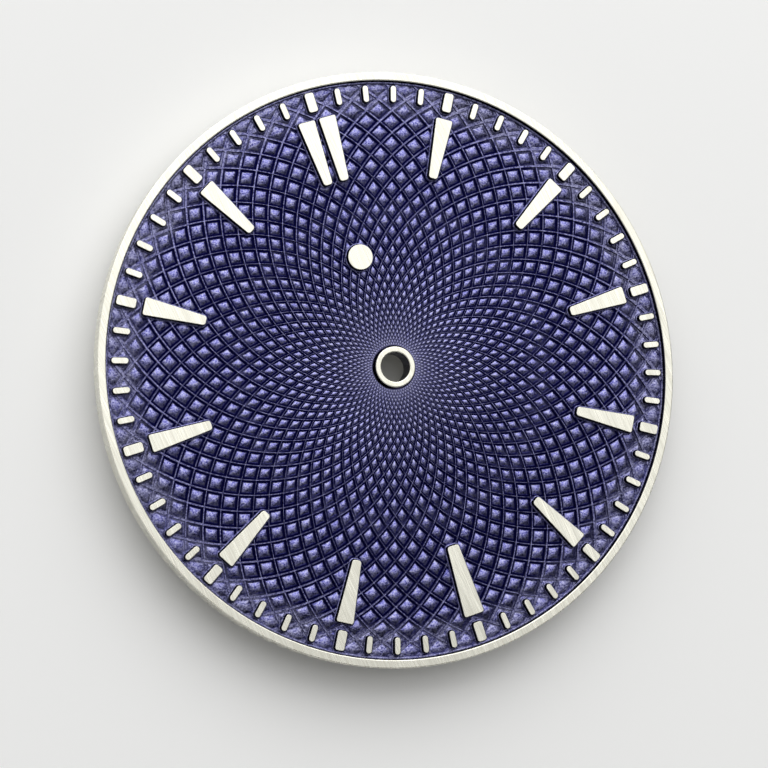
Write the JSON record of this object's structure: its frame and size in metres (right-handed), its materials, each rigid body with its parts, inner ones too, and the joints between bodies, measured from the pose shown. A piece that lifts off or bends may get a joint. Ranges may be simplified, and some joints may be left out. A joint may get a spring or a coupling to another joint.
{
  "type": "watch dial",
  "caption": "Round watch dial: rimmed metal plate, blue enamel over a spiral pyramid pattern, applied hour and minute markers, centre eyelet and two dial feet.",
  "frame": {"origin": "on the axis of the centre hole, in the plane of the plate's back face", "axes": "+Z out of the dial towards the wearer, along the hands' arbor; +Y towards 12 o'clock; +X towards 3 o'clock"},
  "size_m": [0.033, 0.033, 0.0028],
  "materials": {
    "plate": "silvered metal, straight-brushed on the rim, fine-turned at the back",
    "enamel": "translucent blue enamel over an engraved ground",
    "marker": "lapped flat and straight-brushed",
    "eyelet": "lapped flat and straight-brushed",
    "foot": "bare drawn wire"
  },
  "bodies": {
    "root": {"centre_eyelet": "eyelet", "dial_foot_lower": "foot", "dial_foot_upper": "foot", "dial_plate": "plate", "emblem_disc": "marker", "enamel_field": "enamel", "hour_baton_01": "marker", "hour_baton_02": "marker", "hour_baton_03": "marker", "hour_baton_04": "marker", "hour_baton_05": "marker", "hour_baton_06": "marker", "hour_baton_07": "marker", "hour_baton_08": "marker", "hour_baton_09": "marker", "hour_baton_10": "marker", "hour_baton_11": "marker", "hour_baton_12_left": "marker", "hour_baton_12_right": "marker", "hour_block_01": "marker", "hour_block_02": "marker", "hour_block_03": "marker", "hour_block_04": "marker", "hour_block_05": "marker", "hour_block_06": "marker", "hour_block_07": "marker", "hour_block_08": "marker", "hour_block_09": "marker", "hour_block_10": "marker", "hour_block_11": "marker", "hour_block_12": "marker", "minute_bars_01_to_04": "marker", "minute_bars_06_to_09": "marker", "minute_bars_11_to_14": "marker", "minute_bars_16_to_19": "marker", "minute_bars_21_to_24": "marker", "minute_bars_26_to_29": "marker", "minute_bars_31_to_34": "marker", "minute_bars_36_to_39": "marker", "minute_bars_41_to_44": "marker", "minute_bars_46_to_49": "marker", "minute_bars_51_to_54": "marker", "minute_bars_56_to_59": "marker"}
  },
  "joints": []
}
